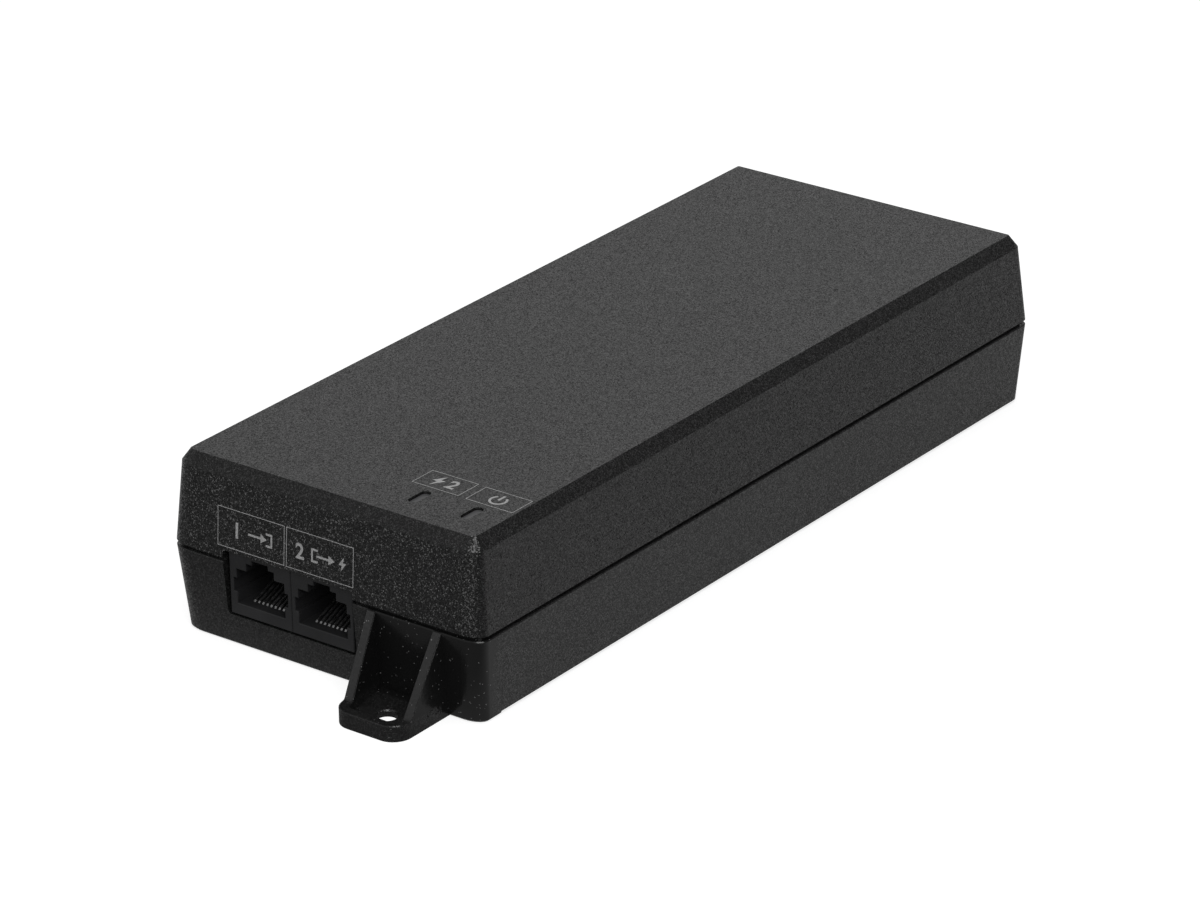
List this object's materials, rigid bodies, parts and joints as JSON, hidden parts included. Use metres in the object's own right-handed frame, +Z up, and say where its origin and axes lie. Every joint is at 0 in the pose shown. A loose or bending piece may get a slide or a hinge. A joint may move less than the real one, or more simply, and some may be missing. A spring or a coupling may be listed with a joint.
{
  "type": "poe injector",
  "caption": "Long flat mains power injector case with screw ears, modular network sockets and indicator slots at the front end and a mains inlet at the rear.",
  "frame": {"origin": "middle of the footprint, at the level the case stands on", "axes": "+Z up; +Y along the case, from the network sockets towards the mains inlet; +X across it"},
  "size_m": [0.076, 0.2134, 0.0377],
  "materials": {
    "case_plastic": "spark-textured black ABS",
    "jack_plastic": "smooth satin black",
    "contact_metal": "bright plated",
    "pipe_plastic": "dark smoked, frosted tip",
    "led_body": "white body",
    "board_laminate": "green solder resist",
    "insulating_film": "translucent amber film",
    "screw_steel": "zinc plated",
    "inlet_plastic": "smooth black",
    "blade_metal": "nickel plate",
    "fuse_case": "dark brown moulding",
    "disc_coating": "dipped blue epoxy",
    "thermistor_coating": "dipped dark epoxy",
    "film_capacitor_case": "yellow moulded box",
    "ferrite": "dark grey ferrite",
    "copper_wire": "enamelled copper",
    "package_epoxy": "black moulded epoxy",
    "capacitor_sleeve": "dark shrink sleeve",
    "sink_aluminium": "extruded",
    "bobbin_plastic": "black moulding",
    "winding_tape": "yellow polyester tape"
  },
  "bodies": {
    "root": {"lower_shell": "case_plastic", "upper_shell": "case_plastic", "main_board": "board_laminate", "insulating_sheet": "insulating_film", "case_screws": "screw_steel", "data_jack_housing": "jack_plastic", "data_jack_contacts": "contact_metal", "power_jack_housing": "jack_plastic", "power_jack_contacts": "contact_metal", "poe_light_pipe": "pipe_plastic", "power_light_pipe": "pipe_plastic", "poe_led": "led_body", "power_led": "led_body", "inlet_blades": "blade_metal", "inlet_housing": "inlet_plastic", "fuse": "fuse_case", "varistor": "disc_coating", "thermistor": "thermistor_coating", "suppression_capacitor": "film_capacitor_case", "safety_capacitors": "disc_coating", "choke_core": "ferrite", "choke_windings": "copper_wire", "bridge_rectifier": "package_epoxy", "bulk_capacitor": "capacitor_sleeve", "primary_heatsink": "sink_aluminium", "primary_switch": "package_epoxy", "primary_controller": "package_epoxy", "optocoupler": "package_epoxy", "transformer_core": "ferrite", "transformer_bobbin": "bobbin_plastic", "transformer_winding": "winding_tape", "secondary_heatsink": "sink_aluminium", "output_rectifier": "package_epoxy", "output_capacitors": "capacitor_sleeve", "inductor_core": "ferrite", "inductor_winding": "copper_wire", "network_magnetics": "package_epoxy", "power_sourcing_chip": "package_epoxy"}
  },
  "joints": []
}
